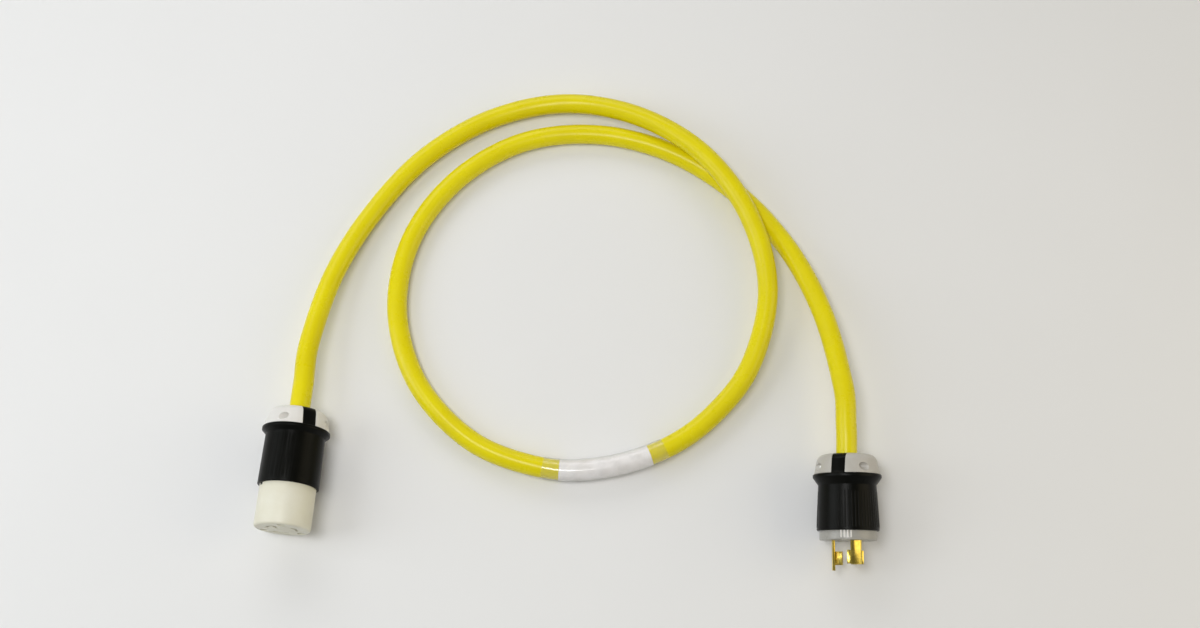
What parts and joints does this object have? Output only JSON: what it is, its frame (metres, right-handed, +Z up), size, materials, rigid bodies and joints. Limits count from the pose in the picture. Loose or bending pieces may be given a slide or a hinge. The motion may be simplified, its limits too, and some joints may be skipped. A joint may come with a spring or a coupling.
{
  "type": "shore power cord",
  "caption": "Shore power cord: thick yellow cord in one loose loop, locking plug with bent blades on one end, locking connector on the other, domed cord clamps.",
  "frame": {"origin": "on the surface that the cord lies on, under the middle of the box round the plug and the connector", "axes": "+X from the connector to the plug, +Y from the two faces back towards the loop, +Z up"},
  "size_m": [0.5116, 0.4296, 0.0588],
  "materials": {
    "yellow_jacket": "satin",
    "black_nylon": "satin",
    "white_nylon": "satin",
    "ivory_nylon": "satin",
    "brass": "polished",
    "plated_steel": "zinc plated",
    "green_insulation": "gloss",
    "black_insulation": "gloss",
    "white_insulation": "gloss",
    "copper": "bare stranded copper",
    "label_paper": "matte",
    "clear_sleeve": "clear gloss"
  },
  "bodies": {
    "cord_set": {"connector_shell": "black_nylon", "connector_nose": "ivory_nylon", "connector_terminal_block": "white_nylon", "connector_ground_contact": "brass", "connector_hot_contact": "brass", "connector_neutral_contact": "brass", "connector_terminal_plates": "plated_steel", "connector_terminal_screws": "plated_steel", "connector_assembly_screws": "plated_steel", "connector_green_wire": "green_insulation", "connector_black_wire": "black_insulation", "connector_white_wire": "white_insulation", "connector_copper_ends": "copper", "connector_jacket_end": "yellow_jacket", "plug_shell": "black_nylon", "plug_face": "white_nylon", "plug_terminal_block": "white_nylon", "plug_ground_blade": "brass", "plug_hot_blade": "brass", "plug_neutral_blade": "brass", "plug_terminal_plates": "plated_steel", "plug_terminal_screws": "plated_steel", "plug_assembly_screws": "plated_steel", "plug_green_wire": "green_insulation", "plug_black_wire": "black_insulation", "plug_white_wire": "white_insulation", "plug_copper_ends": "copper", "plug_jacket_end": "yellow_jacket", "free_cord": "yellow_jacket", "label_wrap": "label_paper", "clear_sleeve": "clear_sleeve"},
    "connector_jaw_a_body": {"connector_jaw_a": "white_nylon"},
    "connector_jaw_b_body": {"connector_jaw_b": "white_nylon", "connector_clamp_nuts": "plated_steel"},
    "connector_screw_1_body": {"connector_clamp_screw_1": "plated_steel"},
    "connector_screw_2_body": {"connector_clamp_screw_2": "plated_steel"},
    "plug_jaw_a_body": {"plug_jaw_a": "white_nylon"},
    "plug_jaw_b_body": {"plug_jaw_b": "white_nylon", "plug_clamp_nuts": "plated_steel"},
    "plug_screw_1_body": {"plug_clamp_screw_1": "plated_steel"},
    "plug_screw_2_body": {"plug_clamp_screw_2": "plated_steel"}
  },
  "joints": [
    {"name": "connector_clamp_screw_1_turn", "type": "hinge", "parent": "connector_jaw_a_body", "child": "connector_screw_1_body", "pos_m": [-0.2355, 0.05375, 0.01371], "axis": [-0.8347, 0.0833, 0.5443], "range_deg": [0, 1440]},
    {"name": "connector_clamp_screw_2_turn", "type": "hinge", "parent": "connector_jaw_a_body", "child": "connector_screw_2_body", "pos_m": [-0.21718, 0.05333, 0.04188], "axis": [-0.8347, 0.0833, 0.5443], "range_deg": [0, 1440]},
    {"name": "connector_jaw_a_slide", "type": "slide", "parent": "cord_set", "child": "connector_jaw_a_body", "axis": [-0.8347, 0.0833, 0.5443], "range_m": [0, 0.0016]},
    {"name": "connector_jaw_b_slide", "type": "slide", "parent": "cord_set", "child": "connector_jaw_b_body", "axis": [0.8347, -0.0833, -0.5443], "range_m": [0, 0.0016]},
    {"name": "plug_clamp_screw_1_turn", "type": "hinge", "parent": "plug_jaw_a_body", "child": "plug_screw_1_body", "pos_m": [0.22057, 0.01358, 0.04695], "axis": [0.9057, -0.0647, 0.419], "range_deg": [0, 1440]},
    {"name": "plug_clamp_screw_2_turn", "type": "hinge", "parent": "plug_jaw_a_body", "child": "plug_screw_2_body", "pos_m": [0.23481, 0.01741, 0.01676], "axis": [0.9057, -0.0647, 0.419], "range_deg": [0, 1440]},
    {"name": "plug_jaw_a_slide", "type": "slide", "parent": "cord_set", "child": "plug_jaw_a_body", "axis": [0.9057, -0.0647, 0.419], "range_m": [0, 0.0016]},
    {"name": "plug_jaw_b_slide", "type": "slide", "parent": "cord_set", "child": "plug_jaw_b_body", "axis": [-0.9057, 0.0647, -0.419], "range_m": [0, 0.0016]}
  ],
  "couplings": [
    {"joint": "connector_jaw_b_slide", "follows": "connector_jaw_a_slide", "ratio": 1},
    {"joint": "connector_clamp_screw_1_turn", "follows": "connector_jaw_a_slide", "rad_per_m": 15708},
    {"joint": "connector_clamp_screw_2_turn", "follows": "connector_jaw_a_slide", "rad_per_m": 15708},
    {"joint": "plug_jaw_b_slide", "follows": "plug_jaw_a_slide", "ratio": 1},
    {"joint": "plug_clamp_screw_1_turn", "follows": "plug_jaw_a_slide", "rad_per_m": 15708},
    {"joint": "plug_clamp_screw_2_turn", "follows": "plug_jaw_a_slide", "rad_per_m": 15708}
  ]
}
